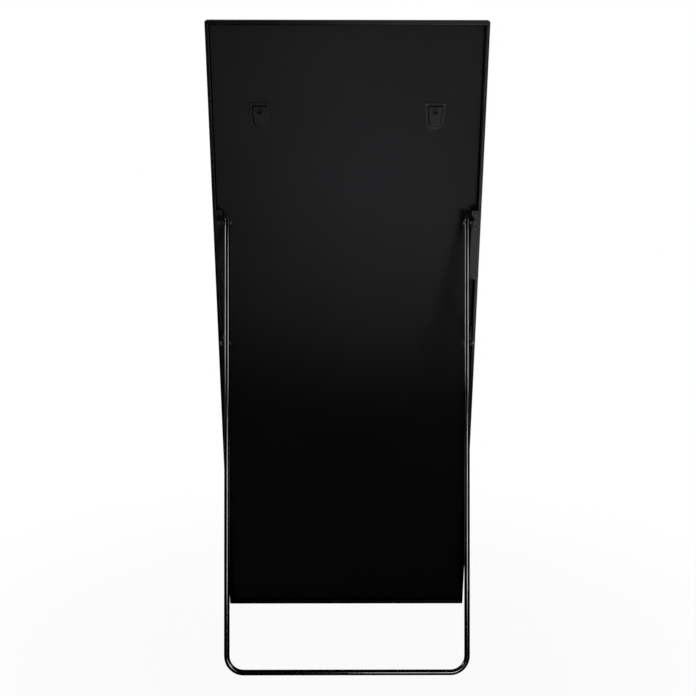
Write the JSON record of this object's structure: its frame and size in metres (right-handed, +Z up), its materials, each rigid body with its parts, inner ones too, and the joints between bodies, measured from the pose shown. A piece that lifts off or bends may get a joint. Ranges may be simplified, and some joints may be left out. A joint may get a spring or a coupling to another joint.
{
  "type": "leaning floor mirror",
  "caption": "Tall framed floor mirror that leans on a folding tubular stand held open by short two-link stays.",
  "frame": {"origin": "on the floor, under the centre of the mirror's overall width and depth with its stand open", "axes": "+Z up, the glass faces -Y and the stand is on the +Y side, +X to the right of someone who faces the glass"},
  "size_m": [0.61, 0.4353, 1.4472],
  "materials": {
    "frame_black": "black anodised, satin",
    "key_metal": "plain cast aluminium",
    "mirror_silver": "silvered float glass",
    "foam_grey": "soft foam sheet",
    "board_black": "fibreboard with a satin black face",
    "plate_black": "black powder coat",
    "tube_black": "glossy black enamel",
    "block_plastic": "black moulded plastic",
    "cap_plastic": "black moulded plastic",
    "screw_steel": "blackened steel with bright edges",
    "foot_rubber": "matt black rubber"
  },
  "bodies": {
    "mirror": {"frame_rail_bottom": "frame_black", "frame_rail_left": "frame_black", "frame_rail_top": "frame_black", "frame_rail_right": "frame_black", "corner_keys": "key_metal", "corner_screws": "screw_steel", "mirror_glass": "mirror_silver", "foam_sheet": "foam_grey", "back_board": "board_black", "hanger_plate_left": "plate_black", "hanger_plate_right": "plate_black", "hanger_screws": "screw_steel", "hinge_plate_left": "plate_black", "hinge_plate_right": "plate_black", "hinge_block_left": "block_plastic", "hinge_block_right": "block_plastic", "hinge_screws": "screw_steel", "stay_mount_left": "plate_black", "stay_mount_right": "plate_black", "stay_mount_screws": "screw_steel", "stay_rail_pins": "screw_steel", "wedge_feet": "foot_rubber"},
    "stand": {"stand_tube": "tube_black", "tube_caps": "cap_plastic", "pivot_bolts": "screw_steel", "pivot_spacers": "cap_plastic", "pivot_nuts": "screw_steel", "stay_bolts": "screw_steel", "stay_washers": "cap_plastic", "stay_nuts": "screw_steel"},
    "rail_link_left": {"stay_rail_link_left": "plate_black", "elbow_rivet_outer_left": "screw_steel"},
    "leg_link_left": {"stay_leg_link_left": "plate_black", "elbow_rivet_inner_left": "screw_steel"},
    "rail_link_right": {"stay_rail_link_right": "plate_black", "elbow_rivet_outer_right": "screw_steel"},
    "leg_link_right": {"stay_leg_link_right": "plate_black", "elbow_rivet_inner_right": "screw_steel"}
  },
  "joints": [
    {"name": "stand_fold", "type": "hinge", "parent": "mirror", "child": "stand", "pos_m": [0, 0.03149, 1.01013], "axis": [-1, 0, 0], "range_deg": [0, 22.05]},
    {"name": "rail_link_fold_left", "type": "hinge", "parent": "mirror", "child": "rail_link_left", "pos_m": [-0.29295, -0.04411, 0.73991], "axis": [1, 0, 0], "range_deg": [0, 72.86]},
    {"name": "leg_link_fold_left", "type": "hinge", "parent": "stand", "child": "leg_link_left", "pos_m": [-0.2818, 0.07972, 0.7404], "axis": [-1, 0, 0], "range_deg": [0, 67.87]},
    {"name": "rail_link_fold_right", "type": "hinge", "parent": "mirror", "child": "rail_link_right", "pos_m": [0.29295, -0.04411, 0.73991], "axis": [1, 0, 0], "range_deg": [0, 72.86]},
    {"name": "leg_link_fold_right", "type": "hinge", "parent": "stand", "child": "leg_link_right", "pos_m": [0.2818, 0.07972, 0.7404], "axis": [-1, 0, 0], "range_deg": [0, 67.87]}
  ],
  "couplings": [
    {"joint": "rail_link_fold_left", "follows": "stand_fold", "ratio": 3.3043},
    {"joint": "leg_link_fold_left", "follows": "stand_fold", "ratio": 3.0778},
    {"joint": "rail_link_fold_right", "follows": "stand_fold", "ratio": 3.3043},
    {"joint": "leg_link_fold_right", "follows": "stand_fold", "ratio": 3.0778}
  ]
}
